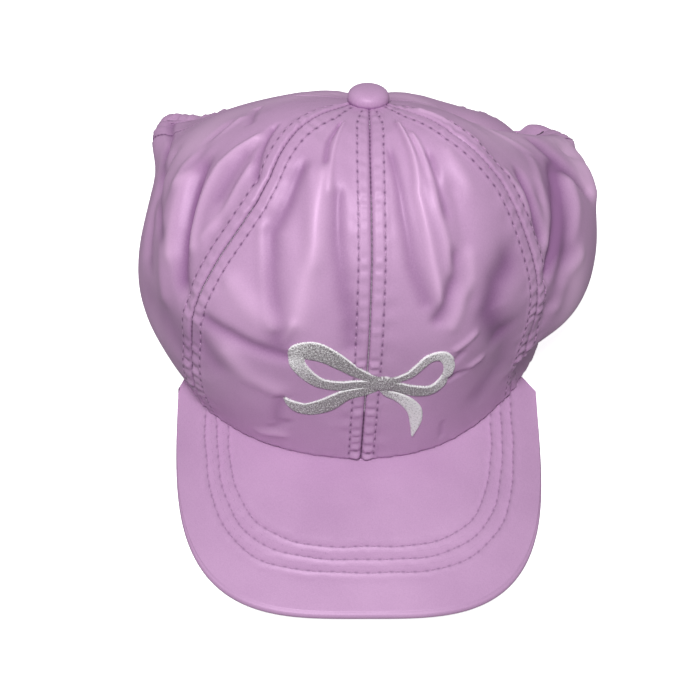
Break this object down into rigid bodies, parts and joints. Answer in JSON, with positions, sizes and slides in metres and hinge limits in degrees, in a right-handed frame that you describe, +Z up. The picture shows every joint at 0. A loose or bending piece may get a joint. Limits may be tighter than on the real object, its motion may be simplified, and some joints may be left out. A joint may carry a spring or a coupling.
{
  "type": "baseball cap",
  "caption": "Soft satin baseball cap with a curved peak, a cloth-covered top button, an embroidered ribbon bow and a gathered opening at the back for a ponytail.",
  "frame": {"origin": "middle of the underside of the cap's box, on the surface the cap stands on", "axes": "+Z up, -Y towards the tip of the peak, +X towards the wearer's left, which is the picture's right"},
  "size_m": [0.21, 0.2464, 0.133],
  "materials": {
    "satin": "smooth satin weave, soft sheen",
    "band": "plain cotton weave, matt",
    "thread": "silver-grey embroidery thread, satin stitch"
  },
  "bodies": {
    "root": {"panel_front_left": "satin", "panel_front_right": "satin", "panel_side_left": "satin", "panel_side_right": "satin", "panel_back_left": "satin", "panel_back_right": "satin", "opening_casing": "satin", "sweatband": "band", "peak": "satin", "bow_loop_left": "thread", "bow_tail_left": "thread", "bow_loop_right": "thread", "bow_tail_right": "thread", "bow_knot": "thread", "top_button": "satin"}
  },
  "joints": []
}
